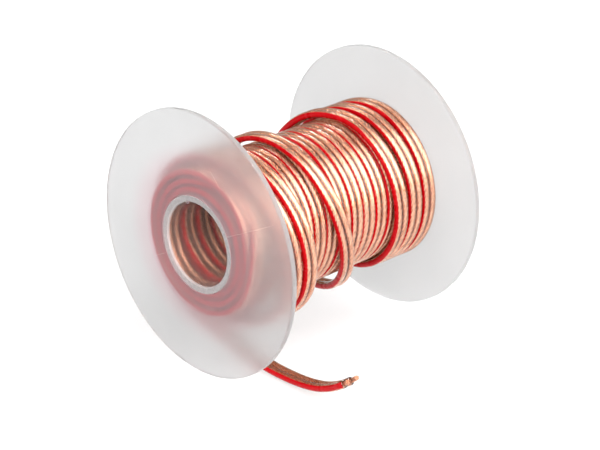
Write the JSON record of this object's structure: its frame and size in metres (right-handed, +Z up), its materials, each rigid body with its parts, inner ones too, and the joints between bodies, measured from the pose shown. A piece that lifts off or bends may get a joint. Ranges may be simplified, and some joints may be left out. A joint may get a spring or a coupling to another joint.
{
  "type": "wire spool",
  "caption": "Small translucent spool with two round flanges, wound in layers with clear twin speaker cable whose last turns are slack and whose bare-ended tail lies in front.",
  "frame": {"origin": "on the floor under the middle of the spool, between the two flange rims it stands on", "axes": "+Z up, +Y along the spool's axis from the flange where the cable's tail comes out to the other flange, +X the way the tail leaves"},
  "size_m": [0.081, 0.067, 0.0719],
  "materials": {
    "spool_plastic": "frosted translucent polypropylene, as moulded",
    "cable_sleeve": "glossy clear PVC over copper, seen as copper, with one red stripe",
    "conductor": "bright stranded bare copper",
    "tracer": "glossy red PVC stripe along one core"
  },
  "bodies": {
    "root": {"hub_tube": "spool_plastic", "front_flange": "spool_plastic", "rear_flange": "spool_plastic", "winding_layer_1": "cable_sleeve", "winding_layer_2": "cable_sleeve", "winding_layer_3": "cable_sleeve", "winding_layer_4": "cable_sleeve", "slack_turn_1": "cable_sleeve", "slack_turn_2": "cable_sleeve", "slack_turn_3": "cable_sleeve", "tail_sleeve": "cable_sleeve", "tail_conductor_a": "conductor", "tail_conductor_b": "conductor"}
  },
  "joints": []
}
